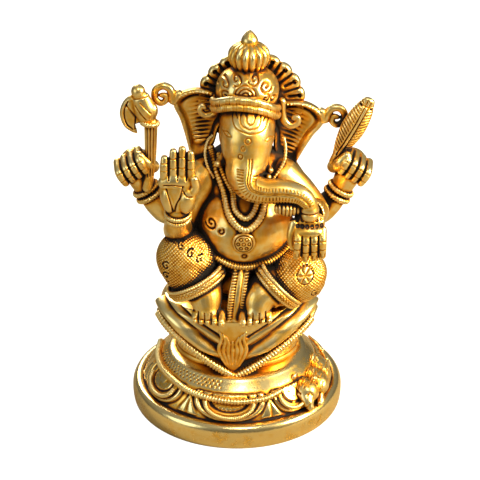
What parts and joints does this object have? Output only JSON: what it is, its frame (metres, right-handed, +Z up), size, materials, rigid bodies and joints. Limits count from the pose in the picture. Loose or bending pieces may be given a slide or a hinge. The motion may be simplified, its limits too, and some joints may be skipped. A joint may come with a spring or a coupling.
{
  "type": "ganesha idol",
  "caption": "Seated elephant-headed devotional figure in aged cast brass, on a draped stool and a round plinth with a mouse.",
  "frame": {"origin": "centre of the plinth's underside", "axes": "+Z up, the figure faces -Y, +X towards the figure's left hand"},
  "size_m": [0.0793, 0.068, 0.1309],
  "materials": {
    "aged_brass": "aged, polished on the high points",
    "plinth_brass": "polished",
    "plain_steel": "satin"
  },
  "bodies": {
    "root": {"axe_collar": "aged_brass", "axe_head": "aged_brass", "axe_shaft": "aged_brass", "base_plate": "plinth_brass", "blessing_hand": "aged_brass", "brow_cords": "aged_brass", "carpet_hem": "aged_brass", "carpet_swags": "aged_brass", "crown_bud": "aged_brass", "crown_cap": "aged_brass", "crown_fan": "aged_brass", "drape_hem": "aged_brass", "drape_lotus": "aged_brass", "ear_hooks": "aged_brass", "fixing_nut": "plain_steel", "fixing_stud": "plain_steel", "fixing_washer": "plain_steel", "head": "aged_brass", "inner_necklace": "aged_brass", "leaf_emblem": "aged_brass", "left_cuff": "aged_brass", "left_ear": "aged_brass", "left_ear_scroll": "aged_brass", "left_foot": "aged_brass", "left_front_arm": "aged_brass", "left_front_bangle": "aged_brass", "left_leg": "aged_brass", "left_rear_arm": "aged_brass", "left_rear_bangles": "aged_brass", "left_rear_hand": "aged_brass", "left_tusk": "aged_brass", "modak": "aged_brass", "mouse": "aged_brass", "mouse_tail": "aged_brass", "outer_necklace": "aged_brass", "pendant": "aged_brass", "plinth": "plinth_brass", "resting_hand": "aged_brass", "right_cuff": "aged_brass", "right_ear": "aged_brass", "right_ear_scroll": "aged_brass", "right_foot": "aged_brass", "right_front_arm": "aged_brass", "right_front_bangle": "aged_brass", "right_leg": "aged_brass", "right_rear_arm": "aged_brass", "right_rear_bangles": "aged_brass", "right_rear_hand": "aged_brass", "right_tusk": "aged_brass", "seat": "aged_brass", "seat_drape": "aged_brass", "seat_roll": "aged_brass", "torso": "aged_brass", "trunk": "aged_brass", "waist_belt": "aged_brass", "waist_pleats": "aged_brass"}
  },
  "joints": []
}
